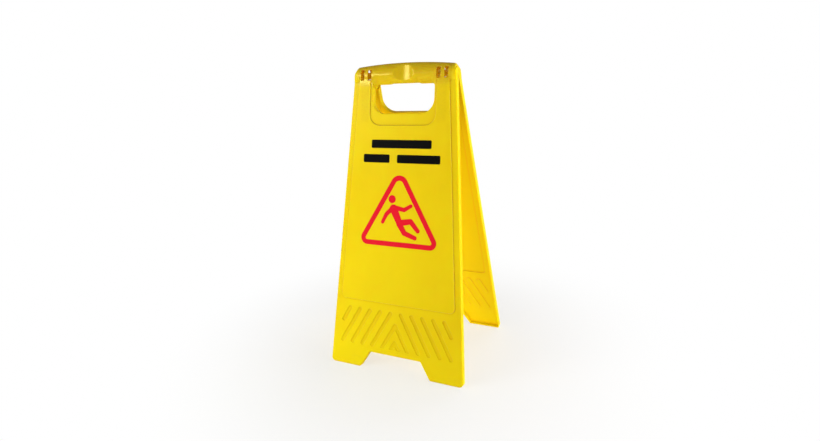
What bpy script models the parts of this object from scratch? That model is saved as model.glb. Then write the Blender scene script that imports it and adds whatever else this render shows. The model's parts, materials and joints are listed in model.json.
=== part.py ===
"""A-frame wet floor sign: two identical moulded panels hinged through a rounded top bar.

World frame: metres, +Z up, origin on the floor midway under the hinge axis, which runs along X.
Panel frame, in mm from the hinge axis: across (+x), down the slope (-z), and out from the
panel's mid-plane (-y). The front panel leans towards -Y; the rear one is the same part turned
half a turn about Z.
"""
import bpy
import bmesh
import math
from mathutils import Vector

for old_object in list(bpy.data.objects):
    bpy.data.objects.remove(old_object, do_unlink=True)

MM = 0.001

# --- driving dimensions, mm ---------------------------------------------------------------
HALF_ANGLE = math.radians(11.77)    # each panel's lean from the vertical at the open stop
PIVOT_HEIGHT = 585.8                # hinge axis above the floor
PIVOT_HALF_WIDTH = 108.2            # panel half width level with the axis
FOOT_HALF_WIDTH = 150.0             # panel half width at the floor
PANEL_TOP = -2.0                    # upper edge of the flat panel, under the bar
FACE = 12.4                         # border face, outward from the mid-plane
RIM = 0.25                          # flange rim, kept clear of the other panel's rim when shut
SKIN = 2.4                          # moulded wall
FOOT_SKIN = 2.6

# Raised face
PLATEAU = 14.1                      # its height out from the mid-plane
BORDER = 13.0                       # low border between the raised face and the edge
PLATEAU_TOP, PLATEAU_BOTTOM, PLATEAU_R = 1.0, 457.2, 10.0
BAND_HALF, BAND_BOTTOM, BAND_R = 71.0, 98.6, 22.0   # low band around the hand hole

# Foot
NOTCH_HALF_BOTTOM, NOTCH_HALF_TOP, NOTCH_HEIGHT = 79.6, 57.5, 35.5
FOOT_R, TOE_R, NOTCH_R = 8.0, 5.0, 3.0   # outer foot corners, corners beside the notch, its top

# Top bar
BAR_DEPTH, BAR_BACK = 20.0, 5.0     # depth of the arc and how far its centre sits behind
BAR_TOP_MID, BAR_TOP_DROP = 26.0, 7.1
BAR_BOTTOM, BAR_SHOULDER = 18.7, 11.3   # lower reach of the arc, and how much more at the sides
SHOULDER_FROM, SHOULDER_RUN = 58.0, 10.0
BAR_HALF_GAP = 0.36                 # half the gap between the two bars at the open stop
BACK_BEND = 0.5                     # where the slanting back of the bar meets the rim plane
SCALLOP_DEPTH, SCALLOP_R = 6.0, 41.0   # thumb scallop, a cut with its axis down the slope
PLUG_HALF, PLUG_BACK, PLUG_INSET = 30.0, 5.4, 0.5   # solid backing behind the scallop

# Hand hole
HOLE_HALF, HOLE_TOP, HOLE_BOTTOM, HOLE_R = 66.0, 3.0, 75.8, 28.0   # its top is hidden by the bar
HOLE_SKIN = 2.2
COLLAR_STEP = 0.6                   # how far the collar stops short of the face

# Slots in the top bar, (nearer, farther) from the middle, on both sides
SLOTS = ((69.0, 78.0), (85.3, 93.5))
SLOT_HALF_HEIGHT = 10.5

# Hinge: each panel's lugs pass beside the other panel's
LUG_R, LUG_OUT, LUG_WIDTH = 6.5, 13.3, 3.0
LUGS = [(start, start + LUG_WIDTH) for start in (78.3, 94.8, -85.0, -68.6)]
BORE_R, PIN_R, PIN_CHAMFER = 2.3, 2.0, 0.4
PIN_OVERHANG = 0.7                  # pin past the innermost and outermost lugs
PIN_FROM, PIN_TO = -LUGS[3][1] - PIN_OVERHANG, LUGS[1][1] + PIN_OVERHANG
PIN_STEPS = 24

# Lower grooves, with ribs behind them
GROOVE_STEP, GROOVE_FIRST, GROOVE_COUNT = 23.6, 9.6, 5
GROOVE_SLOPE = 0.561                # across per unit down
GROOVE_TOP, GROOVE_END, GROOVE_LAST_END = 473.5, 553.0, 508.0
GROOVE_WIDTH, GROOVE_DEPTH = 9.7, 1.2
RIB_HEIGHT, RIB_GROW = 1.4, 0.8     # rib depth, and how much wider each side than its groove
CHEVRON_APEXES = (492.0, 528.0)
CHEVRON_RADII = (4, 1.5, 1.5, 2, 1.5, 1.5)

# Printed film
FILM_GAP, FILM = 0.3, 0.4
FILM_INNER = PLATEAU + FILM_GAP
FILM_OUTER = FILM_INNER + FILM
TRI_HALF, TRI_BASE, TRI_STROKE = 93.5, 338.8, 10.2
TRI_RADII = (19.2, 14.1, 14.1)      # apex, base corners
WORD_BAR_R = 2.5
WORD_BARS = {                       # left, right, top, bottom
    "upper": (-64.4, 65.4, 126.8, 143.2),
    "lower_left": (-82.0, -23.6, 155.6, 172.0),
    "lower_right": (-7.1, 84.4, 155.6, 172.0),
}
HEAD_CENTRE, HEAD_R = (-15.0, 243.5), 8.0
LIMBS = (                           # (across, down, radius) along each limb
    ((-11.0, 262.5, 8.6), (3.0, 291.0, 6.6)),
    ((-7.0, 260.0, 4.6), (12.0, 263.5, 4.2), (26.5, 255.0, 3.6)),
    ((-14.0, 261.5, 4.6), (-27.0, 274.5, 4.2), (-35.0, 290.5, 3.6)),
    ((4.0, 290.0, 6.4), (27.0, 285.5, 5.4), (43.0, 303.0, 4.4)),
    ((2.5, 292.0, 6.4), (14.0, 309.5, 5.4), (37.0, 317.5, 4.4)),
)

# Tool extents: these only overlap the body or run clear of it
CUT_HALF_SPAN = 220.0               # across
CUT_DOWN = 700.0                    # down, past the feet
CUT_BAR = 60.0                      # up and down from the axis, past the bar
CUT_BACK = -45.0                    # behind the panel
CUT_FLOOR = 40.0                    # floor wedge, out and back
CUT_OUT = 30.0                      # past the outer face
CUT_HOLE_BACK = -20.0
PLUG_OUT = 40.0
PANEL_BACK, COLLAR_BACK = -4.0, -3.0   # both trimmed to the rim afterwards
HOLLOW_BACK = -12.0
PLATEAU_ROOT, POCKET_BACK, SLOT_BACK = 4.0, 3.0, 3.0
GROOVE_CLEAR, RIB_OVERLAP, BORE_CLEAR, RING_CLEAR = 3.0, 0.5, 0.6, 1.0

# Looks: base colour and roughness
YELLOW = ((0.86, 0.66, 0.01), 0.42)
RED = ((0.72, 0.01, 0.03), 0.5)
BLACK = ((0.015, 0.015, 0.015), 0.5)
PIN_YELLOW = ((0.70, 0.48, 0.02), 0.45)
SHARP_ANGLE = math.radians(32)      # edges sharper than this are shaded as creases


# --- panel frame --------------------------------------------------------------------------
def floor_down(out, lift=0.0):
    """Distance down the slope to a plane lift above the floor."""
    return (PIVOT_HEIGHT - lift + out * math.sin(HALF_ANGLE)) / math.cos(HALF_ANGLE)


FOOT_DOWN = floor_down(FACE)


def half_width(down):
    return PIVOT_HALF_WIDTH + (FOOT_HALF_WIDTH - PIVOT_HALF_WIDTH) * down / FOOT_DOWN


def local(across, down, out):
    """Panel coordinates in mm to the panel's own metres."""
    return Vector((across * MM, -out * MM, -down * MM))


# --- outlines -----------------------------------------------------------------------------
def arc(centre, radius, start, sweep, steps):
    """The steps + 1 points along an arc."""
    angles = [start + sweep * k / steps for k in range(steps + 1)]
    return [(centre[0] + radius * math.cos(angle), centre[1] + radius * math.sin(angle))
            for angle in angles]


def circle(centre, radius, steps):
    return arc(centre, radius, 0.0, 2 * math.pi, steps)[:-1]


def box(left, right, top, bottom):
    return [(left, top), (right, top), (right, bottom), (left, bottom)]


def rounded(outline, radii, steps=6):
    """Fillet each corner of an outline; a radius of 0 keeps it sharp."""
    points = []
    for i, radius in enumerate(radii):
        corner = Vector(outline[i])
        if radius <= 0:
            points.append((corner.x, corner.y))
            continue
        back = (Vector(outline[i - 1]) - corner).normalized()
        ahead = (Vector(outline[(i + 1) % len(outline)]) - corner).normalized()
        half = math.acos(back.dot(ahead)) / 2
        centre = corner + (back + ahead).normalized() * (radius / math.sin(half))
        reach = radius / math.tan(half)
        first = corner + back * reach - centre
        last = corner + ahead * reach - centre
        start = math.atan2(first.y, first.x)
        sweep = math.atan2(last.y, last.x) - start
        sweep = (sweep + math.pi) % (2 * math.pi) - math.pi
        points += arc(centre, radius, start, sweep, steps)
    return points


def inset(outline, distance):
    """Move every side inward; the outline runs from +across towards +down."""
    points = []
    for i in range(len(outline)):
        before, corner = Vector(outline[i - 1]), Vector(outline[i])
        after = Vector(outline[(i + 1) % len(outline)])
        side_in, side_out = (corner - before).normalized(), (after - corner).normalized()
        normals = Vector((-side_in.y, side_in.x)) + Vector((-side_out.y, side_out.x))
        moved = corner + normals * (distance * 2 / normals.length_squared)
        points.append((moved.x, moved.y))
    return points


def capsule(start, end, start_radius, end_radius, steps):
    """Two round ends joined by their outer tangents."""
    along = Vector(end) - Vector(start)
    heading = math.atan2(along.y, along.x)
    tangent = math.acos((start_radius - end_radius) / along.length)
    return (arc(end, end_radius, heading - tangent, 2 * tangent, steps)
            + arc(start, start_radius, heading + tangent, 2 * math.pi - 2 * tangent, steps))


# --- solids -------------------------------------------------------------------------------
def to_object(solid):
    bmesh.ops.recalc_face_normals(solid, faces=solid.faces[:])
    mesh = bpy.data.meshes.new("part")
    solid.to_mesh(mesh)
    solid.free()
    part = bpy.data.objects.new("part", mesh)
    bpy.context.scene.collection.objects.link(part)
    return part


def add_prism(solid, start_ring, end_ring):
    start = [solid.verts.new(point) for point in start_ring]
    end = [solid.verts.new(point) for point in end_ring]
    solid.faces.new(start)
    solid.faces.new(list(reversed(end)))
    for i in range(len(start)):
        j = (i + 1) % len(start)
        solid.faces.new((start[i], end[i], end[j], start[j]))


def prisms(outlines, inner, outer):
    """Separate outlines in (across, down), all raised from inner to outer."""
    solid = bmesh.new()
    for outline in outlines:
        add_prism(solid, [local(across, down, inner) for across, down in outline],
                  [local(across, down, outer) for across, down in outline])
    return to_object(solid)


def cross_prisms(profile, spans):
    """One profile in (down, out), carried across each (start, end) span."""
    solid = bmesh.new()
    for start, end in spans:
        add_prism(solid, [local(start, down, out) for down, out in profile],
                  [local(end, down, out) for down, out in profile])
    return to_object(solid)


def loft(point_rings):
    """Skin over a run of equal rings, closed at both ends."""
    solid = bmesh.new()
    rings = [[solid.verts.new(point) for point in ring] for ring in point_rings]
    for ring, following in zip(rings, rings[1:]):
        for k in range(len(ring)):
            j = (k + 1) % len(ring)
            solid.faces.new((ring[k], ring[j], following[j], following[k]))
    solid.faces.new(rings[0])
    solid.faces.new(list(reversed(rings[-1])))
    return to_object(solid)


def boolean(body, tool, operation):
    """Apply the tool to the body and remove the tool."""
    modifier = body.modifiers.new("cut", "BOOLEAN")
    modifier.operation = operation
    modifier.solver = "EXACT"
    modifier.object = tool
    bpy.context.view_layer.update()
    depsgraph = bpy.context.evaluated_depsgraph_get()
    mesh = bpy.data.meshes.new_from_object(body.evaluated_get(depsgraph))
    body.modifiers.clear()
    body.data = mesh
    bpy.data.objects.remove(tool, do_unlink=True)


# --- the panel moulding -------------------------------------------------------------------
def panel_outline(margin=0.0):
    notch_top = FOOT_DOWN - NOTCH_HEIGHT
    top_half, foot_half = half_width(PANEL_TOP), half_width(FOOT_DOWN)
    corners = [(-top_half, PANEL_TOP), (top_half, PANEL_TOP), (foot_half, FOOT_DOWN),
               (NOTCH_HALF_BOTTOM, FOOT_DOWN), (NOTCH_HALF_TOP, notch_top),
               (-NOTCH_HALF_TOP, notch_top), (-NOTCH_HALF_BOTTOM, FOOT_DOWN),
               (-foot_half, FOOT_DOWN)]
    foot, toe, notch = FOOT_R - margin, TOE_R - margin, NOTCH_R + margin
    return rounded(inset(corners, margin), (0, 0, foot, toe, notch, notch, toe, foot), 5)


def plateau_outline(margin=0.0):
    top_half, bottom_half = half_width(PLATEAU_TOP) - BORDER, half_width(PLATEAU_BOTTOM) - BORDER
    corners = [(-top_half, PLATEAU_TOP), (-BAND_HALF, PLATEAU_TOP), (-BAND_HALF, BAND_BOTTOM),
               (BAND_HALF, BAND_BOTTOM), (BAND_HALF, PLATEAU_TOP), (top_half, PLATEAU_TOP),
               (bottom_half, PLATEAU_BOTTOM), (-bottom_half, PLATEAU_BOTTOM)]
    band, bottom = BAND_R + margin, PLATEAU_R - margin
    return rounded(inset(corners, margin), (0, 0, band, band, 0, 0, bottom, bottom))


def floor_wedge(lift):
    """Everything below the floor (raised by lift) in the panel's own tilt."""
    reach = CUT_FLOOR
    return cross_prisms([(floor_down(-reach, lift), -reach), (floor_down(reach, lift), reach),
                         (CUT_DOWN, reach), (CUT_DOWN, -reach)],
                        [(-CUT_HALF_SPAN, CUT_HALF_SPAN)])


def shell():
    """Border and raised face with feet cut level, hollow from behind."""
    panel = prisms([panel_outline()], PANEL_BACK, FACE)
    boolean(panel, prisms([plateau_outline()], PLATEAU_ROOT, PLATEAU), "UNION")
    boolean(panel, floor_wedge(0.0), "DIFFERENCE")
    hollow = prisms([panel_outline(SKIN)], HOLLOW_BACK, FACE - SKIN)
    boolean(hollow, floor_wedge(FOOT_SKIN), "DIFFERENCE")
    boolean(panel, hollow, "DIFFERENCE")
    boolean(panel, prisms([plateau_outline(SKIN)], POCKET_BACK, PLATEAU - SKIN), "DIFFERENCE")
    return panel


def hole_outline(grow):
    half, radius = HOLE_HALF + grow, HOLE_R + grow
    return rounded(box(-half, half, HOLE_TOP - grow, HOLE_BOTTOM + grow),
                   (0, 0, radius, radius), 10)


def add_hand_hole(panel):
    boolean(panel, prisms([hole_outline(HOLE_SKIN)], COLLAR_BACK, FACE - COLLAR_STEP), "UNION")
    boolean(panel, prisms([hole_outline(0.0)], CUT_HOLE_BACK, CUT_OUT), "DIFFERENCE")


def bar(skin, across_steps=30, around_steps=18):
    """Arched top bar: an elliptical arc carried across the panel, ends leaning with the edges."""
    rings = []
    for i in range(across_steps + 1):
        place_across = -1 + 2 * i / across_steps
        top = BAR_TOP_MID - BAR_TOP_DROP * place_across * place_across - skin
        step = (abs(place_across) * PIVOT_HALF_WIDTH - SHOULDER_FROM) / SHOULDER_RUN
        step = min(1.0, max(0.0, step))
        bottom = BAR_BOTTOM + BAR_SHOULDER * step * step * (3 - 2 * step) - skin
        ring = []
        for k in range(around_steps + 1):
            angle = -math.pi / 2 + math.pi * k / around_steps
            down = (top if angle < 0 else bottom) * math.sin(angle)
            out = -BAR_BACK + (BAR_DEPTH - skin) * math.cos(angle)
            ring.append(local(place_across * (half_width(down) - skin), down, out))
        rings.append(ring)
    return loft(rings)


def add_top_bar(panel):
    """The hollow bar, then the trim that faces the other panel."""
    boolean(panel, bar(0.0), "UNION")
    boolean(panel, bar(SKIN), "DIFFERENCE")
    back = [(-CUT_BAR, CUT_BAR * math.tan(HALF_ANGLE) + BAR_HALF_GAP), (BACK_BEND, RIM),
            (CUT_DOWN, RIM), (CUT_DOWN, CUT_BACK), (-CUT_BAR, CUT_BACK)]
    boolean(panel, cross_prisms(back, [(-CUT_HALF_SPAN, CUT_HALF_SPAN)]), "DIFFERENCE")


def add_thumb_scallop(panel):
    plug = bar(PLUG_INSET)
    middle = box(-PLUG_HALF, PLUG_HALF, -CUT_BAR, CUT_BAR)
    boolean(plug, prisms([middle], PLUG_BACK, PLUG_OUT), "INTERSECT")
    boolean(panel, plug, "UNION")
    centre_out = BAR_DEPTH - BAR_BACK - SCALLOP_DEPTH + SCALLOP_R
    rim = circle((0.0, centre_out), SCALLOP_R, 72)
    solid = bmesh.new()
    add_prism(solid, [local(across, -CUT_BAR, out) for across, out in rim],
              [local(across, CUT_BAR, out) for across, out in rim])
    boolean(panel, to_object(solid), "DIFFERENCE")


def cut_slots(panel):
    slots = [box(side * near, side * far, -SLOT_HALF_HEIGHT, SLOT_HALF_HEIGHT)
             for near, far in SLOTS for side in (-1, 1)]
    boolean(panel, prisms(slots, SLOT_BACK, CUT_OUT), "DIFFERENCE")


def groove_outlines(grow=0.0):
    """Slanting grooves with round ends either side of two nested chevrons."""
    lean = math.atan(GROOVE_SLOPE)
    end_inset = GROOVE_WIDTH / 2 * math.cos(lean)
    radius = end_inset + grow
    trim_across, trim_down = math.sin(lean) * end_inset, math.cos(lean) * end_inset
    outlines = []
    for side in (-1, 1):
        for k in range(GROOVE_COUNT):
            start = GROOVE_FIRST + GROOVE_STEP * k
            end_down = GROOVE_LAST_END if k == GROOVE_COUNT - 1 else GROOVE_END
            end = start + GROOVE_SLOPE * (end_down - GROOVE_TOP)
            outlines.append(capsule((side * (start + trim_across), GROOVE_TOP + trim_down),
                                    (side * (end - trim_across), end_down - trim_down),
                                    radius, radius, 6))
    width = 2 * radius / math.cos(lean)
    for apex in CHEVRON_APEXES:
        reach = GROOVE_SLOPE * (GROOVE_END - apex)
        chevron = [(0, apex), (reach, GROOVE_END), (reach - width, GROOVE_END),
                   (0, apex + width / GROOVE_SLOPE), (width - reach, GROOVE_END),
                   (-reach, GROOVE_END)]
        outlines.append(rounded(chevron, CHEVRON_RADII, 4))
    return outlines


def add_grooves(panel):
    boolean(panel, prisms(groove_outlines(), FACE - GROOVE_DEPTH, FACE + GROOVE_CLEAR),
            "DIFFERENCE")
    inside = FACE - SKIN
    ribs = prisms(groove_outlines(RIB_GROW), inside - RIB_HEIGHT, inside + RIB_OVERLAP)
    boolean(panel, ribs, "UNION")


def add_lugs(panel):
    lug = arc((0.0, 0.0), LUG_R, 0.0, -math.pi, 12) + [(-LUG_R, LUG_OUT), (LUG_R, LUG_OUT)]
    boolean(panel, cross_prisms(lug, LUGS), "UNION")
    spans = [(start - BORE_CLEAR, end + BORE_CLEAR) for start, end in LUGS]
    boolean(panel, cross_prisms(circle((0.0, 0.0), BORE_R, 24), spans), "DIFFERENCE")


def build_panel():
    panel = shell()
    for add_feature in (add_hand_hole, add_top_bar, add_thumb_scallop, cut_slots, add_grooves,
                        add_lugs):
        add_feature(panel)
    return panel


# --- printed film -------------------------------------------------------------------------
def film(outline):
    return prisms([outline], FILM_INNER, FILM_OUTER)


def triangle_border():
    apex = TRI_BASE - TRI_HALF * math.sqrt(3)
    triangle = [(0, apex), (TRI_HALF, TRI_BASE), (-TRI_HALF, TRI_BASE)]
    border = film(rounded(triangle, TRI_RADII, 8))
    opening = rounded(inset(triangle, TRI_STROKE), [radius - TRI_STROKE for radius in TRI_RADII])
    boolean(border, prisms([opening], FILM_INNER - RING_CLEAR, FILM_OUTER + RING_CLEAR),
            "DIFFERENCE")
    return border


def figure_body():
    parts = [film(capsule(start[:2], end[:2], start[2], end[2], 7))
             for limb in LIMBS for start, end in zip(limb, limb[1:])]
    for part in parts[1:]:
        boolean(parts[0], part, "UNION")
    return parts[0]


def word_bar(edges):
    return film(rounded(box(*edges), (WORD_BAR_R,) * 4, 4))


# --- hinge pins ---------------------------------------------------------------------------
def hinge_pin(side):
    """Chamfered pin; side is -1 for -x, 1 for +x."""
    stations = ((PIN_FROM, PIN_R - PIN_CHAMFER), (PIN_FROM + PIN_CHAMFER, PIN_R),
                (PIN_TO - PIN_CHAMFER, PIN_R), (PIN_TO, PIN_R - PIN_CHAMFER))
    return loft([[local(side * across, down, out)
                  for down, out in circle((0.0, 0.0), radius, PIN_STEPS)]
                 for across, radius in stations])


# --- assembly -----------------------------------------------------------------------------
def material(name, look):
    colour, roughness = look
    surface = bpy.data.materials.new(name)
    surface.use_nodes = True
    shader = surface.node_tree.nodes["Principled BSDF"]
    shader.inputs["Base Color"].default_value = (*colour, 1.0)
    shader.inputs["Roughness"].default_value = roughness
    surface.diffuse_color = (*colour, 1.0)
    return surface


def panel_axis(side, turn):
    """Empty on the hinge axis that carries one panel's lean."""
    axis = bpy.data.objects.new(side + "_axis", None)
    axis.location = (0, 0, PIVOT_HEIGHT * MM)
    axis.rotation_euler = (-HALF_ANGLE, 0, turn)
    bpy.context.scene.collection.objects.link(axis)
    return axis


def take(part):
    """Keep a part's mesh and remove its object."""
    mesh = part.data
    bpy.data.objects.remove(part, do_unlink=True)
    return mesh


def place(name, source, axis, surface):
    mesh = source.copy()
    mesh.name = name
    mesh.materials.clear()
    mesh.materials.append(surface)
    mesh.shade_smooth()
    mesh.set_sharp_from_angle(angle=SHARP_ANGLE)
    placed = bpy.data.objects.new(name, mesh)
    placed.parent = axis
    bpy.context.scene.collection.objects.link(placed)


axes = {"front": panel_axis("front", 0.0), "rear": panel_axis("rear", math.pi)}

# Piece name, material name, mesh, look; the side's name goes in front of both names
pieces = [
    ("panel", "yellow", take(build_panel()), YELLOW),
    ("triangle_border", "red", take(triangle_border()), RED),
    ("figure_body", "figure_red", take(figure_body()), RED),
    ("figure_head", "head_red", take(film(circle(HEAD_CENTRE, HEAD_R, 32))), RED),
]
for label, edges in WORD_BARS.items():
    pieces.append(("word_bar_" + label, label + "_black", take(word_bar(edges)), BLACK))

for side, axis in axes.items():
    for piece, surface, mesh, look in pieces:
        place(f"{side}_{piece}", mesh, axis, material(f"{side}_{surface}", look))

for label, side in (("left", -1), ("right", 1)):
    place("hinge_pin_" + label, take(hinge_pin(side)), axes["front"],
          material("pin_" + label, PIN_YELLOW))
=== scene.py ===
"""Looks for the wet floor sign: fine mouldings, printed films, plastic materials, studio and camera.

Two equal panels hang from a hinge along X and lean apart, the front one towards -Y.
Panel coordinates, in mm from the hinge axis: across (along X), down the slope, and out
(away from the other panel). Outlines are (across, down) and run through the code as x, y.
"""
import json
import math

import bmesh
import bpy
from mathutils import Matrix, Vector


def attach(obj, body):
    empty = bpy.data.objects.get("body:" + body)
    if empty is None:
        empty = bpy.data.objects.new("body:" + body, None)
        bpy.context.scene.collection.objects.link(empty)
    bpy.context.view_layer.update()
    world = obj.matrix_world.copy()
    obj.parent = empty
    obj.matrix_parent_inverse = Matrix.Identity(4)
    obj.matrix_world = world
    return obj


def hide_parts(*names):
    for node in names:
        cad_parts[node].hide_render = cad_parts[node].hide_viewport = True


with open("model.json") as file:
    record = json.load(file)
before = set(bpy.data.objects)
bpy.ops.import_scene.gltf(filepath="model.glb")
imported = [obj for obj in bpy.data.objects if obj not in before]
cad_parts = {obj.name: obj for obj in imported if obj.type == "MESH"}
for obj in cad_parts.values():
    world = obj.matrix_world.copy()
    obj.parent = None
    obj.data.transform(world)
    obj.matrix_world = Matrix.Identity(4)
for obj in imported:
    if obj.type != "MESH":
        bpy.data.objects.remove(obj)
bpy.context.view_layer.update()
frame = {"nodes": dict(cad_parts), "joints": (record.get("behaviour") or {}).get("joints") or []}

MM = 0.001
PIVOT = Vector(frame["joints"][0]["pos_m"])

# --- dimensions shared with the frame, mm -------------------------------------------------
HALF_ANGLE = math.radians(11.77)    # lean of each panel
PIVOT_HEIGHT = PIVOT.z / MM
PIVOT_HALF_WIDTH, FOOT_HALF_WIDTH = 108.2, 150.0
FACE, PLATEAU, RIM = 12.4, 14.1, 0.25   # how far out: main face, raised face, back rim
SKIN, FOOT_SKIN = 2.4, 2.6          # wall thicknesses
BORDER = 13.0                       # main face left beside the raised one
NOTCH_HALF_BOTTOM, NOTCH_HALF_TOP, NOTCH_HEIGHT = 79.6, 57.5, 35.5
FOOT_R, TOE_R, NOTCH_R = 8.0, 5.0, 3.0  # corners: outer foot, notch mouth, notch top
# top bar
BAR_W, BAR_BACK = 20.0, 5.0         # depth of its section, and how far back that starts
BAR_TOP_MID, BAR_TOP_DROP = 26.0, 7.1
BAR_BOTTOM, BAR_SHOULDER = 18.7, 11.3
SHOULDER_FROM, SHOULDER_RUN = 58.0, 10.0
BAR_HALF_GAP = 0.36                 # to the plane midway between the panels
SCALLOP_DEPTH, SCALLOP_R = 6.0, 41.0
PLUG_HALF, PLUG_BACK = 30.0, 5.4    # thicker wall behind the scallop
# handle opening and the low band round it
HOLE_HALF, HOLE_TOP, HOLE_BOTTOM, HOLE_R, HOLE_SKIN = 66.0, 3.0, 75.8, 28.0, 2.2
BAND_HALF, BAND_BOTTOM, BAND_R = 71.0, 98.6, 22.0
PLATEAU_BOTTOM, PLATEAU_R = 457.2, 10.0
# slots through the bar, and hinge lugs
SLOTS, SLOT_HALF_HEIGHT = ((69.0, 78.0), (85.3, 93.5)), 10.5
LUG_R, LUG_OUT, BORE_R = 6.5, 13.3, 2.3
LUG_STARTS, LUG_WIDTH = (78.3, 94.8, -85.0, -68.6), 3.0
# slanting grooves on the lower face, with ribs behind them
GROOVE_STEP, GROOVE_FIRST, GROOVE_COUNT, GROOVE_SLOPE = 23.6, 9.6, 5, 0.561
GROOVE_TOP, GROOVE_END, GROOVE_LAST_END = 473.5, 553.0, 508.0
GROOVE_WIDTH, GROOVE_DEPTH, RIB_HEIGHT = 9.7, 1.2, 1.4
PEAKS = (492.0, 528.0)              # tips of the chevrons on the centre line
# prints
TRI_HALF, TRI_BASE, TRI_STROKE = 93.5, 338.8, 10.2
TRI_RADII = (19.2, 14.1, 14.1)
WORD_BARS, WORD_HEIGHT = (          # name: (from, to, top)
    ("upper", (-64.4, 65.4, 126.8)),
    ("lower_left", (-82.0, -23.6, 155.6)),
    ("lower_right", (-7.1, 84.4, 155.6)),
), 16.4
WORD_R = 2.5
HEAD_X, HEAD_Y, HEAD_R = -15.0, 243.5, 8.0
LIMBS = (                           # trunk, arms, legs: (across, down, radius) along each
    ((-11.0, 262.5, 8.6), (3.0, 291.0, 6.6)),
    ((-7.0, 260.0, 4.6), (12.0, 263.5, 4.2), (26.5, 255.0, 3.6)),
    ((-14.0, 261.5, 4.6), (-27.0, 274.5, 4.2), (-35.0, 290.5, 3.6)),
    ((4.0, 290.0, 6.4), (27.0, 285.5, 5.4), (43.0, 303.0, 4.4)),
    ((2.5, 292.0, 6.4), (14.0, 309.5, 5.4), (37.0, 317.5, 4.4)),
)

# --- finishing dimensions the frame leaves plain, mm --------------------------------------
EDGE_R = 1.6                        # outer edge of the tray and the bar's ends
INNER_R = 1.0                       # inner edge of the tray
FOOT_FILLET, TOP_FILLET = 0.7, 0.9  # concave and convex fillets of the raised face
HOLE_FILLET = 1.2
CORNER_RUN, CORNER_DROP = 3.0, 6.4  # upper outer corners of the bar
MIDDLE_LIFT, MIDDLE_END, MIDDLE_RUN = 1.6, 36.0, 8.0    # raised middle of the bar's underside
BAR_SPACING = ((32, 1.25), (56, 2.6), (70, 1.3), (math.inf, 2.6))   # (up to, station spacing)
BAR_AROUND = 44                     # steps round the bar's section
SLOT_R = 0.8
BORE_CLEAR = 0.6                    # bore cutter beyond each lug side
FILM_LIFT, FILM, FILM_EDGE = 0.03, 0.12, 0.04
MIN_R = 0.15                        # smallest corner an inset may leave
PAST = 220                          # cutters reach this far to each side
BEYOND = 700                        # and this far down

TAN, SIN, COS = math.tan(HALF_ANGLE), math.sin(HALF_ANGLE), math.cos(HALF_ANGLE)
FOOT_DOWN = (PIVOT_HEIGHT + FACE * SIN) / COS
FILM_BACK = PLATEAU + FILM_LIFT
FILM_FRONT = FILM_BACK + FILM
FILM_PROFILE = [(0, FILM_BACK), (0, FILM_FRONT - FILM_EDGE), (FILM_EDGE, FILM_FRONT)]


def half_width(down):
    return PIVOT_HALF_WIDTH + (FOOT_HALF_WIDTH - PIVOT_HALF_WIDTH) * down / FOOT_DOWN


def loc(across, down, out):
    return Vector((across * MM, -out * MM, -down * MM))


# --- modelling kit ------------------------------------------------------------------------
def to_object(solid, name):
    bmesh.ops.recalc_face_normals(solid, faces=solid.faces[:])
    mesh = bpy.data.meshes.new(name)
    solid.to_mesh(mesh)
    solid.free()
    piece = bpy.data.objects.new(name, mesh)
    bpy.context.scene.collection.objects.link(piece)
    return piece


def loft(solid, rings):
    """Closed solid through rings of equal length, capped at both ends."""
    rings = [[solid.verts.new(point) for point in ring] for ring in rings]
    count = len(rings[0])
    for near, far in zip(rings, rings[1:]):
        for k in range(count):
            j = (k + 1) % count
            solid.faces.new((near[k], near[j], far[j], far[k]))
    solid.faces.new(list(reversed(rings[0])))
    solid.faces.new(rings[-1])


def raised(name, shapes, profile):
    """Each shape is a function of inset giving an outline; profile lists (inset, out)."""
    solid = bmesh.new()
    for shape in shapes:
        loft(solid, [[loc(x, y, out) for x, y in shape(by)] for by, out in profile])
    return to_object(solid, name)


def extruded(name, section, spans):
    """A (down, out) section swept over each span across the panel."""
    solid = bmesh.new()
    for span in spans:
        loft(solid, [[loc(x, down, out) for down, out in section] for x in span])
    return to_object(solid, name)


def boolean(piece, other, operation):
    """Applies the other object to the piece and removes it."""
    modifier = piece.modifiers.new("cut", "BOOLEAN")
    modifier.operation = operation
    modifier.solver = "EXACT"
    modifier.object = other
    bpy.context.view_layer.update()
    depsgraph = bpy.context.evaluated_depsgraph_get()
    mesh = bpy.data.meshes.new_from_object(piece.evaluated_get(depsgraph))
    piece.modifiers.clear()
    piece.data = mesh
    bpy.data.objects.remove(other, do_unlink=True)


def join(piece, other):
    boolean(piece, other, "UNION")


def cut(piece, other):
    boolean(piece, other, "DIFFERENCE")


def take_mesh(piece):
    mesh = piece.data
    bpy.data.objects.remove(piece, do_unlink=True)
    return mesh


def rounded(poly, radii, steps):
    points = []
    for i, radius in enumerate(radii):
        corner = Vector(poly[i])
        if radius <= 0:
            points.append((corner.x, corner.y))
            continue
        back = (Vector(poly[i - 1]) - corner).normalized()
        ahead = (Vector(poly[(i + 1) % len(poly)]) - corner).normalized()
        half = math.acos(max(-1.0, min(1.0, back.dot(ahead)))) / 2
        centre = corner + (back + ahead).normalized() * (radius / math.sin(half))
        reach = radius / math.tan(half)
        start, end = corner + back * reach - centre, corner + ahead * reach - centre
        first = math.atan2(start.y, start.x)
        sweep = (math.atan2(end.y, end.x) - first + math.pi) % (2 * math.pi) - math.pi
        for k in range(steps + 1):
            angle = first + sweep * k / steps
            points.append((centre.x + radius * math.cos(angle),
                           centre.y + radius * math.sin(angle)))
    return points


def double_area(poly):
    """Twice the signed area."""
    return sum(poly[i - 1][0] * poly[i][1] - poly[i][0] * poly[i - 1][1]
               for i in range(len(poly)))


def corners(poly):
    """(previous, corner, next) at each point."""
    return [(Vector(poly[i - 1]), Vector(poly[i]), Vector(poly[(i + 1) % len(poly)]))
            for i in range(len(poly))]


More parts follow.
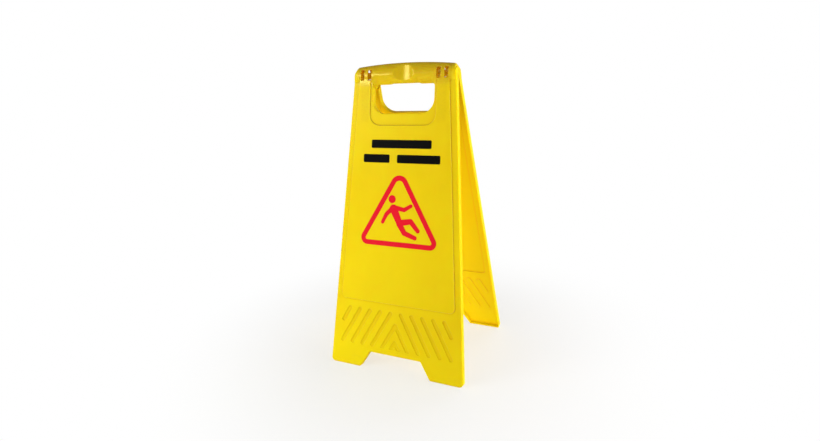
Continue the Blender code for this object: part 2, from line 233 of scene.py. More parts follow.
def turn_signs(poly):
    """+1 at convex corners and -1 at concave ones."""
    area = double_area(poly)
    signs = []
    for before, corner, after in corners(poly):
        come, go = corner - before, after - corner
        signs.append(1.0 if (come.x * go.y - come.y * go.x) * area > 0 else -1.0)
    return signs


def inset(poly, distance):
    sign = 1.0 if double_area(poly) > 0 else -1.0
    points = []
    for before, corner, after in corners(poly):
        come, go = (corner - before).normalized(), (after - corner).normalized()
        normals = Vector((-come.y, come.x)) * sign + Vector((-go.y, go.x)) * sign
        point = corner + normals * (distance * 2 / normals.length_squared)
        points.append((point.x, point.y))
    return points


def shape_of(poly, radii, steps):
    """An outline as a function of inset; fillets shrink at convex corners, grow at concave."""
    signs = turn_signs(poly)

    def at(by):
        fitted = [max(MIN_R, radius - sign * by) if radius > 0 else 0
                  for radius, sign in zip(radii, signs)]
        return rounded(inset(poly, by) if by else poly, fitted, steps)
    return at


def capsule(start, end, start_r, end_r, steps):
    """Two round ends joined by their outer tangents."""
    start, end = Vector(start), Vector(end)
    aim = math.atan2(end.y - start.y, end.x - start.x)
    tangent = math.acos(max(-1.0, min(1.0, (start_r - end_r) / (end - start).length)))

    def cap(centre, radius, first, sweep):
        return [centre + Vector((math.cos(first + sweep * k / steps),
                                 math.sin(first + sweep * k / steps))) * radius
                for k in range(steps + 1)]
    points = cap(end, end_r, aim - tangent, 2 * tangent)
    points += cap(start, start_r, aim + tangent, 2 * math.pi - 2 * tangent)
    return [(point.x, point.y) for point in points]


def circle(radius, steps, x=0.0, y=0.0):
    return [(x + radius * math.cos(2 * math.pi * k / steps),
             y + radius * math.sin(2 * math.pi * k / steps)) for k in range(steps)]


def arc(steps, first=0.0, last=90.0):
    """(sine, cosine) pairs between two angles in degrees."""
    angles = [math.radians(first + (last - first) * k / steps) for k in range(steps + 1)]
    return [(math.sin(angle), math.cos(angle)) for angle in angles]


def round_over(radius, level, steps, start=0.0, side=1, last=90.0):
    """Profile rising to a level; side 1 curves inwards and -1 outwards."""
    return [(start + side * radius * (1 - cosine), level - radius + radius * sine)
            for sine, cosine in arc(steps, 0.0, last)]


def clamped(value):
    return min(1.0, max(0.0, value))


def smoothstep(value):
    value = clamped(value)
    return value * value * (3 - 2 * value)


def smooth_min(one, other, blend):
    near = max(0.0, blend - abs(one - other)) / blend
    return min(one, other) - near * near * blend / 4


# --- tray and raised face -----------------------------------------------------------------
def outline_shape():
    top = FOOT_DOWN - NOTCH_HEIGHT
    foot = half_width(FOOT_DOWN)
    poly = [(-half_width(-2), -2), (half_width(-2), -2), (foot, FOOT_DOWN),
            (NOTCH_HALF_BOTTOM, FOOT_DOWN), (NOTCH_HALF_TOP, top), (-NOTCH_HALF_TOP, top),
            (-NOTCH_HALF_BOTTOM, FOOT_DOWN), (-foot, FOOT_DOWN)]
    return shape_of(poly, (0, 0, FOOT_R, TOE_R, NOTCH_R, NOTCH_R, TOE_R, FOOT_R), 10)


def plateau_shape():
    top, low = half_width(1) - BORDER, half_width(PLATEAU_BOTTOM) - BORDER
    poly = [(-top, 1), (-BAND_HALF, 1), (-BAND_HALF, BAND_BOTTOM), (BAND_HALF, BAND_BOTTOM),
            (BAND_HALF, 1), (top, 1), (low, PLATEAU_BOTTOM), (-low, PLATEAU_BOTTOM)]
    return shape_of(poly, (0, 0, BAND_R, BAND_R, 0, 0, PLATEAU_R, PLATEAU_R), 14)


def floor_wedge(name, lift):
    """Everything below a level this far above the floor."""
    def down_at(out):
        return (PIVOT_HEIGHT - lift + out * SIN) / COS
    section = [(down_at(-40), -40), (down_at(40), 40), (BEYOND, 40), (BEYOND, -40)]
    return extruded(name, section, [(-PAST, PAST)])


def build_tray():
    outline, face = outline_shape(), plateau_shape()
    panel = raised("panel", [outline], [(0, -4.0)] + round_over(EDGE_R, FACE, 6))

    foot = [(-FOOT_FILLET * (1 - sine), FACE + FOOT_FILLET * (1 - cosine))
            for sine, cosine in arc(5, 16)]
    sunk = foot[0][0] - 0.15        # a little outside the fillet, so the solids overlap
    join(panel, raised("plateau", [face], [(sunk, 4.0), (sunk, FACE - 0.04)]
                       + foot + round_over(TOP_FILLET, PLATEAU, 5)))
    cut(panel, floor_wedge("floor", 0.0))

    hollow = raised("hollow", [outline], [(SKIN, -12.0)]
                    + round_over(INNER_R, FACE - SKIN, 4, start=SKIN))
    cut(hollow, floor_wedge("inner_floor", FOOT_SKIN))
    cut(panel, hollow)
    cut(panel, raised("pocket", [face], [(SKIN, 3.0), (SKIN, PLATEAU - SKIN - 0.5),
                                         (SKIN + 0.5, PLATEAU - SKIN)]))
    return panel


# --- handle opening -----------------------------------------------------------------------
def hole_shape(top):
    box = [(-HOLE_HALF, top), (HOLE_HALF, top), (HOLE_HALF, HOLE_BOTTOM),
           (-HOLE_HALF, HOLE_BOTTOM)]
    return shape_of(box, (0, 0, HOLE_R, HOLE_R), 20)


def add_opening(panel):
    join(panel, raised("collar", [hole_shape(HOLE_TOP)],
                       [(-HOLE_SKIN, -3.0), (-HOLE_SKIN, FACE - 0.6)]))
    lip = round_over(HOLE_FILLET, FACE, 6, side=-1, last=76)
    cut(panel, raised("hole", [hole_shape(-8.0)],
                      [(0.0, -20.0)] + lip + [(-HOLE_FILLET, FACE + 0.08),
                                              (-HOLE_FILLET - 0.1, 30.0)]))


# --- top bar ------------------------------------------------------------------------------
def bar_top(across):
    """Height of the bar above the hinge axis."""
    share = across / PIVOT_HALF_WIDTH
    corner = clamped((abs(across) - (PIVOT_HALF_WIDTH - CORNER_RUN)) / CORNER_RUN)
    return (BAR_TOP_MID - BAR_TOP_DROP * share * share
            - CORNER_DROP * (1 - math.sqrt(1 - corner * corner)))


def bar_bottom(across):
    """Depth of the bar below the hinge axis."""
    shoulder = smoothstep((abs(across) - SHOULDER_FROM) / SHOULDER_RUN)
    middle = smoothstep((MIDDLE_END - abs(across)) / MIDDLE_RUN)
    return BAR_BOTTOM + BAR_SHOULDER * shoulder - MIDDLE_LIFT * middle


def bar_stations(round_ends):
    """(share of the half width, mm added across, mm shrunk) from one end to the other."""
    half = [0.0]
    while half[-1] < 1.0:
        across = half[-1] * PIVOT_HALF_WIDTH
        step = next(step for limit, step in BAR_SPACING if across < limit)
        half.append(min(1.0, half[-1] + step / PIVOT_HALF_WIDTH))
    corner = 1 - CORNER_RUN / PIVOT_HALF_WIDTH
    half = [share for share in half if share < corner - 0.008]
    half += [corner + (1 - corner) * math.sin(math.pi / 2 * k / 12) for k in range(13)]
    stations = [(share, 0.0, 0.0) for share in half]
    if round_ends:
        stations[-1:] = [(1.0, EDGE_R * sine, EDGE_R * (1 - cosine)) for sine, cosine in arc(5)]
    return [(-share, -extra, shrink) for share, extra, shrink in stations[:0:-1]] + stations


def bar(name, skin):
    """The arched top bar. skin 0 is its outside, with rounded ends and the thumb scallop."""
    rings = []
    for share, extra, shrink in bar_stations(round_ends=skin == 0):
        middle = share * PIVOT_HALF_WIDTH
        if skin:
            top = bar_top(min(PIVOT_HALF_WIDTH, abs(middle) + skin * 0.95)) - skin
            # the cavity stops at the plug, then runs free within 1.2 mm beside it
            limit = PLUG_BACK + 30.0 * clamped((abs(middle) - PLUG_HALF) / 1.2)
        else:
            top = bar_top(middle)
        top = max(1.0, top - shrink)
        bottom = bar_bottom(middle) - skin - shrink
        margin = skin if skin else EDGE_R + 0.05
        ring = []
        for k in range(BAR_AROUND + 1):
            angle = -math.pi / 2 + math.pi * k / BAR_AROUND
            down = (top if angle < 0 else bottom) * math.sin(angle)
            out = -BAR_BACK + (BAR_W - skin - shrink) * math.cos(angle)
            across = share * (half_width(down) - margin) + extra
            if skin:
                out = min(out, limit)
            elif abs(across) < SCALLOP_R - 1:
                centre = BAR_W - BAR_BACK - SCALLOP_DEPTH + SCALLOP_R
                scallop = centre - math.sqrt(SCALLOP_R ** 2 - across * across)
                out = smooth_min(out, scallop, 0.7)
            ring.append(loc(across, down, out))
        rings.append(ring)
    solid = bmesh.new()
    loft(solid, rings)
    return to_object(solid, name)


def add_bar(panel):
    join(panel, bar("bar", 0.0))
    cut(panel, bar("bar_hollow", SKIN))
    # trims the back: upright above the hinge, along the rim below it
    section = [(-60, 60 * TAN + BAR_HALF_GAP), (0.5, RIM), (BEYOND, RIM), (BEYOND, -45),
               (-60, -45)]
    cut(panel, extruded("back", section, [(-PAST, PAST)]))

    slots = []
    for near, far in SLOTS:
        for left, right in ((-far, -near), (near, far)):
            box = [(left, -SLOT_HALF_HEIGHT), (right, -SLOT_HALF_HEIGHT),
                   (right, SLOT_HALF_HEIGHT), (left, SLOT_HALF_HEIGHT)]
            slots.append(shape_of(box, (SLOT_R,) * 4, 5))
    cut(panel, raised("slots", slots, [(0, 3.0), (0, 30.0)]))


# --- grooves and lugs ---------------------------------------------------------------------
def groove_shapes():
    lean = math.atan(GROOVE_SLOPE)
    radius = GROOVE_WIDTH / 2 * math.cos(lean)
    end_x, end_y = math.sin(lean) * radius, math.cos(lean) * radius
    shapes = []
    for side in (-1, 1):
        for k in range(GROOVE_COUNT):
            top_x = GROOVE_FIRST + GROOVE_STEP * k
            end = GROOVE_LAST_END if k == GROOVE_COUNT - 1 else GROOVE_END
            low_x = top_x + GROOVE_SLOPE * (end - GROOVE_TOP)
            top = (side * (top_x + end_x), GROOVE_TOP + end_y)
            low = (side * (low_x - end_x), end - end_y)
            shapes.append(lambda by, top=top, low=low:
                          capsule(top, low, radius - by, radius - by, 12))
    for peak in PEAKS:
        reach = GROOVE_SLOPE * (GROOVE_END - peak)
        inner = reach - GROOVE_WIDTH
        poly = [(0, peak), (reach, GROOVE_END), (inner, GROOVE_END),
                (0, peak + GROOVE_WIDTH / GROOVE_SLOPE), (-inner, GROOVE_END),
                (-reach, GROOVE_END)]
        shapes.append(shape_of(poly, (4, 1.5, 1.5, 2, 1.5, 1.5), 6))
    return shapes


def add_grooves(panel):
    dish = [(1.75, FACE - GROOVE_DEPTH), (0.95, FACE - GROOVE_DEPTH * 0.86),
            (0.42, FACE - GROOVE_DEPTH * 0.55), (0.12, FACE - GROOVE_DEPTH * 0.2),
            (-0.12, FACE + 0.12), (-0.2, FACE + 3)]
    cut(panel, raised("grooves", groove_shapes(), dish))
    inner_face = FACE - SKIN
    rib = [(-0.2, inner_face - RIB_HEIGHT), (-0.8, inner_face - RIB_HEIGHT * 0.55),
           (-0.8, inner_face + 0.5)]
    join(panel, raised("ribs", groove_shapes(), rib))


def add_lugs(panel):
    section = [(LUG_R * math.cos(math.pi * k / 24), -LUG_R * math.sin(math.pi * k / 24))
               for k in range(25)] + [(-LUG_R, LUG_OUT), (LUG_R, LUG_OUT)]
    spans = [(start, start + LUG_WIDTH) for start in LUG_STARTS]
    join(panel, extruded("lugs", section, spans))
    cut(panel, extruded("bores", circle(BORE_R, 40),
                        [(start - BORE_CLEAR, end + BORE_CLEAR) for start, end in spans]))


def build_panel():
    panel = build_tray()
    add_opening(panel)
    add_bar(panel)
    add_grooves(panel)
    add_lugs(panel)

    # welds the slivers the cuts leave, in metres
    solid = bmesh.new()
    solid.from_mesh(panel.data)
    bmesh.ops.remove_doubles(solid, verts=solid.verts[:], dist=1.5e-6)
    bmesh.ops.dissolve_degenerate(solid, edges=solid.edges[:], dist=1e-6)
    mesh = bpy.data.meshes.new("panel")
    solid.to_mesh(mesh)
    solid.free()
    bpy.data.objects.remove(panel, do_unlink=True)
    return mesh


# --- printed films ------------------------------------------------------------------------
def build_triangle():
    height = TRI_HALF * math.sqrt(3)
    poly = [(0, TRI_BASE - height), (TRI_HALF, TRI_BASE), (-TRI_HALF, TRI_BASE)]
    ring = raised("ring", [shape_of(poly, TRI_RADII, 24)], FILM_PROFILE)
    inner = shape_of(inset(poly, TRI_STROKE), [radius - TRI_STROKE for radius in TRI_RADII], 18)
    cut(ring, raised("ring_in", [inner], [(0, FILM_BACK - 1), (0, FILM_FRONT + 1)]))
    return take_mesh(ring)


def build_figure():
    body = None
    for limb in LIMBS:
        for start, end in zip(limb, limb[1:]):
            points = capsule(start[:2], end[:2], start[2], end[2], 20)
            part = raised("limb", [lambda by: points], [(0, FILM_BACK), (0, FILM_FRONT)])
            if body is None:
                body = part
            else:
                join(body, part)
    return take_mesh(body)


def build_head():
    return take_mesh(raised("head", [lambda by: circle(HEAD_R - by, 64, HEAD_X, HEAD_Y)],
                            FILM_PROFILE))


def build_word_bar(left, right, top):
    low = top + WORD_HEIGHT
    poly = [(left, top), (right, top), (right, low), (left, low)]
    return take_mesh(raised("word", [shape_of(poly, (WORD_R,) * 4, 10)], FILM_PROFILE))


# --- node materials -----------------------------------------------------------------------
class Shader:
    """A Principled material with short helpers for its node tree. Lengths are in metres."""

    def __init__(self, name):
        self.mat = bpy.data.materials.new(name)
        self.mat.use_nodes = True
        self.tree = self.mat.node_tree
        self.tree.nodes.clear()
        self.out = self.add("ShaderNodeOutputMaterial")
        self.bsdf = self.add("ShaderNodeBsdfPrincipled")
        self.tree.links.new(self.bsdf.outputs[0], self.out.inputs[0])
        self.coord = self.add("ShaderNodeTexCoord").outputs["Object"]

    def add(self, kind, **props):
        node = self.tree.nodes.new(kind)
        for key, value in props.items():
            setattr(node, key, value)
        return node

    def put(self, socket, value):
        if isinstance(value, bpy.types.NodeSocket):
            self.tree.links.new(value, socket)
        elif value is not None:
            socket.default_value = value

    def math(self, operation, first, second, clamp=False):
        node = self.add("ShaderNodeMath", operation=operation, use_clamp=clamp)
        self.put(node.inputs[0], first)
        self.put(node.inputs[1], second)
        return node.outputs[0]

    def times(self, first, second):
        return self.math("MULTIPLY", first, second)

    def noise(self, scale, detail=2.0, rough=0.5, vector=None, distortion=0.0):
        node = self.add("ShaderNodeTexNoise")
        self.put(node.inputs["Vector"], vector or self.coord)
        node.inputs["Scale"].default_value = scale
        node.inputs["Detail"].default_value = detail
        node.inputs["Roughness"].default_value = rough
        node.inputs["Distortion"].default_value = distortion
        return node.outputs["Fac"]

    def stretch(self, *scale):
        node = self.add("ShaderNodeMapping")
        self.put(node.inputs["Vector"], self.coord)
        node.inputs["Scale"].default_value = scale
        return node.outputs[0]

    def span(self, value, lo, hi, to_lo=0.0, to_hi=1.0):
        """Smooth step from to_lo at lo to to_hi at hi."""
        node = self.add("ShaderNodeMapRange", interpolation_type="SMOOTHSTEP")
        self.put(node.inputs["Value"], value)
        for key, x in (("From Min", lo), ("From Max", hi), ("To Min", to_lo), ("To Max", to_hi)):
            node.inputs[key].default_value = x
        return node.outputs["Result"]

    def fade(self, value, lo, hi):
        """1 below lo, 0 above hi."""
        return self.math("SUBTRACT", 1.0, self.span(value, lo, hi))

    def band(self, value, rise, fall):
        """0, up to 1 over the rise, back to 0 over the fall."""
        return self.times(self.span(value, *rise), self.fade(value, *fall))

    def mix(self, factor, first, second):
        node = self.add("ShaderNodeMix", data_type="RGBA")
        self.put(node.inputs[0], factor)
        for socket, value in ((node.inputs[6], first), (node.inputs[7], second)):
            self.put(socket, (*value, 1.0) if isinstance(value, tuple) else value)
        return node.outputs[2]

    def tint(self, base, mask, colour, share=None):
        """Base turned to the colour by the mask, or by a share of it."""
        return self.mix(mask if share is None else self.times(mask, share), base, colour)

    def bump(self, height, strength, distance, normal=None):
        node = self.add("ShaderNodeBump")
        node.inputs["Strength"].default_value = strength
        node.inputs["Distance"].default_value = distance
        self.put(node.inputs["Height"], height)
        self.put(node.inputs["Normal"], normal)
        return node.outputs[0]

    def bevel(self, radius):
        node = self.add("ShaderNodeBevel", samples=4)
        node.inputs["Radius"].default_value = radius
        return node.outputs[0]

    def hollow(self, distance, lo, hi):
        """1 in tight inside corners, 0 on open faces."""
        node = self.add("ShaderNodeAmbientOcclusion", samples=6)
        node.inputs["Distance"].default_value = distance
        return self.fade(node.outputs["AO"], lo, hi)

    def edges(self, radius):
        """1 along sharp or tightly curved edges, 0 on open faces."""
        soft_normal = self.bevel(radius)
        hard_normal = self.add("ShaderNodeNewGeometry").outputs["Normal"]
        node = self.add("ShaderNodeVectorMath", operation="DOT_PRODUCT")
        self.put(node.inputs[0], soft_normal)
        self.put(node.inputs[1], hard_normal)
        return self.span(node.outputs["Value"], lo=0.995, hi=0.90)

    def panel_axis(self, axis):
        """Panel coordinate in mm: 0 across, 1 down, 2 out."""
        node = self.add("ShaderNodeAttribute", attribute_name="panel")
        split = self.add("ShaderNodeSeparateXYZ")
        self.put(split.inputs[0], node.outputs["Vector"])
        return split.outputs[axis]

    def set(self, **values):
        for key, value in values.items():
            self.put(self.bsdf.inputs[key.replace("_", " ")], value)


def yellow_plastic(name, level=1.0):
    """Moulded plastic; level scales the red and green of its main tones."""
    s = Shader(name)

    def toned(red, green, blue):
        return red * level, green * level, blue

    cloud = s.noise(scale=5.5, detail=3.0, rough=0.55)
    flow = s.noise(scale=3.0, detail=4.0, rough=0.6, vector=s.stretch(14, 14, 2.2),
                   distortion=0.6)
    speck = s.noise(scale=420.0, rough=0.6)
    base = s.mix(s.span(cloud, lo=0.32, hi=0.68), toned(0.850, 0.655, 0.0032),
                 toned(0.825, 0.610, 0.0028))
    base = s.tint(base, s.span(flow, lo=0.40, hi=0.75, to_hi=0.30),
                  colour=toned(0.865, 0.680, 0.004))
    base = s.tint(base, s.span(speck, lo=0.60, hi=0.80, to_hi=0.08), colour=(0.78, 0.54, 0.004))

    # painted shade: the bar is toned a darker ochre than the face below it, for the lesser light on
    # its rounded section
    across = s.math("ABSOLUTE", s.panel_axis(0), None)
    on_bar = s.times(s.fade(s.panel_axis(1), lo=12.0, hi=27.0), s.fade(across, lo=97.0, hi=105.0))
    base = s.tint(base, on_bar, share=0.62, colour=(0.655, 0.425, 0.012))

    # darker columns beside the handle opening, where the surface is flat
    column = s.band(across, rise=(70.0, 76.0), fall=(88.0, 94.0))
    column = s.times(column, s.fade(s.panel_axis(1), lo=84.0, hi=98.0))
    mottle = s.span(s.noise(scale=260.0, detail=3.0, rough=0.6), lo=0.3, hi=0.7,
                    to_lo=0.10, to_hi=0.32)
    base = s.tint(base, column, share=mottle, colour=(0.690, 0.460, 0.006))

    # painted shade: creases and inside corners darkened to orange by ambient occlusion
    crease_shade = s.hollow(distance=0.0052, lo=0.68, hi=0.99)
    base = s.tint(base, crease_shade, share=0.60, colour=(0.58, 0.27, 0.002))
    # deep cavities, which get the painted glow further down
    cavity_glow = s.hollow(distance=0.0300, lo=0.10, hi=0.42)

    # painted highlight: edges lightened as if catching light; lighter still in patches of real wear
    edge = s.edges(radius=0.0010)
    base = s.tint(base, edge, share=0.22, colour=(0.93, 0.80, 0.08))
    worn = s.times(edge, s.span(s.noise(scale=95.0, detail=4.0, rough=0.65), lo=0.46, hi=0.66))
    base = s.tint(base, worn, share=0.28, colour=(0.93, 0.80, 0.14))

    # painted shade and highlight that back up the relief: the grooves' floors shaded darker, the
    # raised face's step painted with shade at its foot and a highlight on top
    down, out = s.panel_axis(1), s.panel_axis(2)
    groove_shade = s.times(s.band(down, rise=(464.0, 470.0), fall=(556.0, 560.0)),
                     s.band(out, rise=(10.7, 11.0), fall=(11.5, 12.2)))
    groove_shade = s.times(groove_shade, s.fade(across, lo=126.0, hi=130.0))
    base = s.tint(base, groove_shade, share=0.42, colour=(0.740, 0.490, 0.003))
    below_bar = s.span(down, lo=32.0, hi=38.0)
    step_foot_shade = s.times(below_bar, s.band(out, rise=(12.42, 12.5), fall=(12.9, 13.3)))
    base = s.tint(base, step_foot_shade, share=0.60, colour=(0.52, 0.27, 0.002))
    step_top_highlight = s.times(below_bar, s.band(out, rise=(13.2, 13.5), fall=(13.98, 14.09)))
    base = s.tint(base, step_top_highlight, share=0.50, colour=(0.95, 0.84, 0.10))

    # painted light: the foot lightened downwards as if by light bounced up from the floor; real
    # scuffs near the bottom
    floor_bounce_light = s.span(s.panel_axis(1), lo=450.0, hi=600.0, to_hi=0.60)
    base = s.tint(base, floor_bounce_light, colour=(0.930, 0.760, 0.004))
    low = s.span(s.panel_axis(1), lo=560.0, hi=600.0)
    scuff = s.times(low, s.span(s.noise(scale=38.0, detail=6.0, rough=0.7,
                                        vector=s.stretch(1, 1, 3)), lo=0.50, hi=0.72))
    base = s.tint(base, scuff, share=0.16, colour=(0.50, 0.38, 0.06))

    # glossier bar, duller wear
    rough = s.span(s.noise(scale=24.0, detail=4.0, rough=0.6), lo=0.3, hi=0.7,
                   to_lo=0.33, to_hi=0.42)
    rough = s.math("SUBTRACT", rough, s.times(on_bar, 0.17))
    rough = s.math("ADD", rough, s.times(worn, 0.14))
    rough = s.math("ADD", rough, s.times(scuff, 0.16), clamp=True)

    # soft edges, slow waviness, fine grain
    normal = s.bevel(radius=0.00035)
    normal = s.bump(s.noise(scale=9.0), strength=0.35, distance=0.0016, normal=normal)
    normal = s.bump(s.noise(scale=1500.0, rough=0.6), strength=0.10, distance=0.00012,
                    normal=normal)
    s.set(Base_Color=base, Roughness=rough, Normal=normal, IOR=1.49)

    # painted glow standing in for light let through the thin wall: a faint emission on the inside
    # faces, deeper orange in the cavities
    inside = s.add("ShaderNodeAttribute", attribute_name="inside").outputs["Fac"]
    inside = s.times(inside, s.span(s.panel_axis(1), lo=50.0, hi=150.0, to_lo=0.25))
    s.set(Emission_Strength=s.math("ADD", s.times(cavity_glow, 0.16), s.times(inside, 0.23)),
          Emission_Color=s.mix(cavity_glow, (0.95, 0.74, 0.008), (0.62, 0.20, 0.006)),
          Specular_IOR_Level=s.math("ADD", 0.34, s.times(on_bar, 0.50)),
          Specular_Tint=(1.0, 0.92, 0.32, 1.0),
          Subsurface_Weight=0.60,
          Subsurface_Radius=(1.0, 0.68, 0.06),
          Subsurface_Scale=0.0018)
    return s.mat


def print_ink(name, colour, lighter, roughness):
    s = Shader(name)
    mottle = s.noise(scale=300.0, detail=3.0, rough=0.6)
    pin_holes = s.span(s.noise(scale=900.0), lo=0.70, hi=0.80)
    base = s.mix(s.span(mottle, lo=0.45, hi=0.75, to_hi=0.35), colour, lighter)
    base = s.tint(base, pin_holes, share=0.25, colour=lighter)
    worn = s.times(s.edges(radius=0.0004),
                   s.span(s.noise(scale=160.0, detail=3.0, rough=0.6), lo=0.5, hi=0.7))
    base = s.tint(base, worn, share=0.30, colour=lighter)
    rough = s.span(s.noise(scale=60.0, detail=3.0, rough=0.6), lo=0.3, hi=0.7,
                   to_lo=roughness - 0.05, to_hi=roughness + 0.06)
    s.set(Base_Color=base, Roughness=rough, IOR=1.48, Specular_IOR_Level=0.07,
          Normal=s.bump(s.noise(scale=1300.0), strength=0.10, distance=0.00008))
    return s.mat


# --- assembly -----------------------------------------------------------------------------
def panel_matrix(side):
    turn = 0.0 if side == "front" else math.pi
    return (Matrix.Translation(PIVOT) @ Matrix.Rotation(turn, 4, "Z")
            @ Matrix.Rotation(-HALF_ANGLE, 4, "X"))


def place(name, source, side, mat, replaced):
    mesh = source.copy()
    mesh.name = name
    # the materials read the panel coordinates and which faces look inwards
    panel = mesh.attributes.new("panel", "FLOAT_VECTOR", "POINT")
    for item, vert in zip(panel.data, mesh.vertices):
        item.vector = (vert.co.x / MM, -vert.co.z / MM, -vert.co.y / MM)
    inside = mesh.attributes.new("inside", "FLOAT", "FACE")
    for item, face in zip(inside.data, mesh.polygons):
        item.value = 1.0 if face.normal.y > 0.5 else 0.0
    mesh.materials.clear()
    mesh.materials.append(mat)
    mesh.transform(panel_matrix(side))
    mesh.shade_smooth()
    mesh.set_sharp_from_angle(angle=math.radians(34))
    piece = bpy.data.objects.new(name, mesh)
    bpy.context.scene.collection.objects.link(piece)
    modifier = piece.modifiers.new("weighted", "WEIGHTED_NORMAL")
    modifier.keep_sharp = True
    modifier.weight = 80
    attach(piece, side)
    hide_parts(replaced)


panel_mesh = build_panel()
triangle_mesh = build_triangle()
figure_mesh = build_figure()
head_mesh = build_head()
word_meshes = [(label, build_word_bar(*box)) for label, box in WORD_BARS]

yellow = yellow_plastic("yellow_moulded_plastic")
red = print_ink("red_print", colour=(0.790, 0.0080, 0.024), lighter=(0.82, 0.02, 0.03),
                roughness=0.42)
black = print_ink("black_print", colour=(0.0020, 0.0020, 0.0022),
                  lighter=(0.008, 0.0075, 0.0065), roughness=0.45)

PIECES = [                          # name, mesh, material, slot, frame piece replaced
    ("moulding", panel_mesh, yellow, "yellow_moulding", "panel"),
    ("triangle", triangle_mesh, red, "red_print", "triangle_border"),
    ("figure", figure_mesh, red, "red_print", "figure_body"),
    ("head", head_mesh, red, "red_print", "figure_head"),
] + [("bar_" + label, mesh, black, "black_print", "word_bar_" + label)
     for label, mesh in word_meshes]
for side in ("front", "rear"):
    for label, mesh, mat, slot, replaced in PIECES:
        place(f"{side}_{label}", mesh, side, mat, f"{side}_{replaced}")

pin = yellow_plastic("pin_plastic", level=0.92)
for label in ("left", "right"):
    materials = frame["nodes"]["hinge_pin_" + label].data.materials
    materials.clear()
    materials.append(pin)


# --- studio -------------------------------------------------------------------------------
def build_world():
    """White to the camera, a dim warm fill to everything else."""
    world = bpy.data.worlds.new("studio")
    bpy.context.scene.world = world
    world.use_nodes = True
    tree = world.node_tree
    background = tree.nodes["Background"]
    background.inputs["Color"].default_value = (1.0, 1.0, 1.0, 1.0)
    rays = tree.nodes.new("ShaderNodeLightPath")

    def by_ray(ray, value_if, value_else):
        node = tree.nodes.new("ShaderNodeMix")
        tree.links.new(rays.outputs[ray], node.inputs[0])
        for socket, value in ((node.inputs[2], value_else), (node.inputs[3], value_if)):
            if isinstance(value, bpy.types.NodeSocket):
                tree.links.new(value, socket)
            else:
                socket.default_value = value
        return node.outputs[0]

    warm = tree.nodes.new("ShaderNodeMix")
    warm.data_type = "RGBA"
    tree.links.new(rays.outputs["Is Camera Ray"], warm.inputs[0])
    warm.inputs[6].default_value = (1.0, 0.93, 0.85, 1.0)
    warm.inputs[7].default_value = (1.0, 1.0, 1.0, 1.0)
    tree.links.new(warm.outputs[2], background.inputs["Color"])
    others = by_ray("Is Glossy Ray", value_if=0.14, value_else=0.28)
    tree.links.new(by_ray("Is Camera Ray", value_if=1.0, value_else=others),
                   background.inputs["Strength"])


def floor_paint():
    """Pale paint that turns into a white glow away from the sign."""
    s = Shader("pale_floor")
    s.set(Base_Color=(0.90, 0.90, 0.90, 1.0), Roughness=0.65)
    glow = s.add("ShaderNodeEmission")
    glow.inputs["Color"].default_value = (1.0, 1.0, 1.0, 1.0)
    glow.inputs["Strength"].default_value = 1.0
    away = s.add("ShaderNodeVectorMath", operation="LENGTH")
    s.put(away.inputs[0], s.coord)
    away = away.outputs["Value"]
    blend = s.add("ShaderNodeMixShader")
    # the camera sees a whiter floor than the one that lights the sign
    eye = s.add("ShaderNodeLightPath").outputs["Is Camera Ray"]
    lit = s.span(away, lo=0.40, hi=1.30)
    seen_white = s.times(eye, s.span(away, lo=0.12, hi=0.62, to_lo=0.62))
    s.put(blend.inputs[0], s.math("MAXIMUM", lit, seen_white))
    s.put(blend.inputs[1], s.bsdf.outputs[0])
    s.put(blend.inputs[2], glow.outputs[0])
    s.put(s.out.inputs[0], blend.outputs[0])
    return s.mat


def build_floor():
    disc = bmesh.new()
    bmesh.ops.create_circle(disc, cap_ends=True, segments=96, radius=14.0)
    floor = to_object(disc, "floor")
    floor.location = (0, 0, -0.0002)
    floor.data.materials.append(floor_paint())
    floor.visible_glossy = False


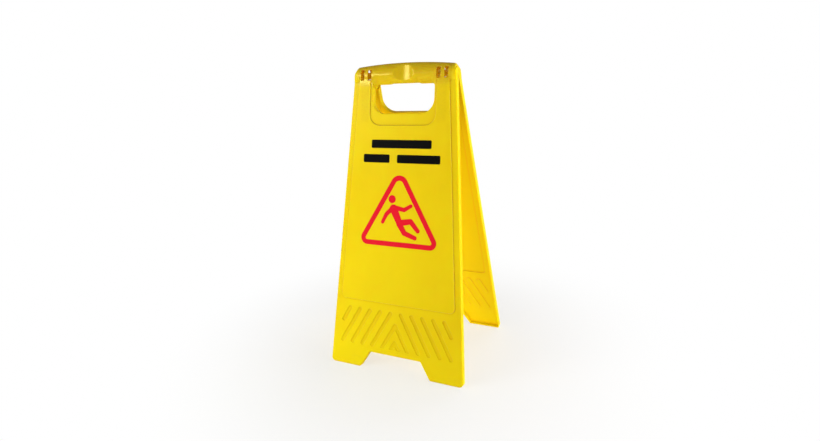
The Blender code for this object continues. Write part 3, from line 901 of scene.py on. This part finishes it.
def softbox(name, at, aim, size, watts, colour=(1.0, 1.0, 1.0), seen=False):
    """seen: whether it shows in reflections."""
    light = bpy.data.lights.new(name, "AREA")
    light.color = colour
    light.shape = "RECTANGLE"
    light.size, light.size_y = size
    light.energy = watts
    lamp = bpy.data.objects.new(name, light)
    lamp.location = at
    lamp.rotation_mode = "QUATERNION"
    lamp.rotation_quaternion = (Vector(aim) - Vector(at)).to_track_quat("-Z", "Y")
    lamp.visible_glossy = seen
    bpy.context.scene.collection.objects.link(lamp)


build_world()
build_floor()
softbox("left_softbox", at=(-0.66, -0.74, 0.10), aim=(-0.05, -0.10, 0.06), size=(0.8, 0.45),
        watts=6.3, colour=(0.91, 1.0, 0.90))
softbox("high_softbox", at=(-0.98, -0.80, 1.00), aim=(0, -0.03, 0.55), size=(0.35, 0.7),
        watts=4.5, colour=(1.0, 1.0, 0.96), seen=True)
softbox("strip_softbox", at=(-0.70, -1.00, 0.97), aim=(-0.07, -0.02, 0.58), size=(0.30, 0.20),
        watts=1.5, colour=(1.0, 1.0, 0.90), seen=True)
softbox("right_softbox", at=(1.20, -0.04, 0.30), aim=(0, 0, 0.25), size=(0.6, 0.9), watts=15.0)
softbox("back_softbox", at=(0.45, 1.30, 0.70), aim=(0, 0.05, 0.20), size=(1.2, 0.9), watts=8.5)
bpy.context.scene.view_settings.view_transform = "Standard"

# --- camera -------------------------------------------------------------------------------
CAMERA_AT = (0.4559, -0.9637, 0.6086)
YAW, PITCH, ROLL = -0.4493, -0.2914, -0.0541    # radians; yaw 0 looks along +Y


def build_camera():
    ahead = Vector((math.sin(YAW) * math.cos(PITCH), math.cos(YAW) * math.cos(PITCH),
                    math.sin(PITCH)))
    level = Vector((math.cos(YAW), -math.sin(YAW), 0.0))
    upright = level.cross(ahead)
    right = level * math.cos(ROLL) + upright * math.sin(ROLL)
    up = upright * math.cos(ROLL) - level * math.sin(ROLL)
    data = bpy.data.cameras.new("camera")
    data.sensor_width = 36.0
    data.lens = 23.114
    data.clip_start, data.clip_end = 0.02, 60.0
    camera = bpy.data.objects.new("camera", data)
    rows = [(right[k], up[k], -ahead[k], CAMERA_AT[k]) for k in range(3)]
    camera.matrix_world = Matrix((*rows, (0, 0, 0, 1)))
    bpy.context.scene.collection.objects.link(camera)
    bpy.context.scene.camera = camera


build_camera()

bpy.context.view_layer.update()
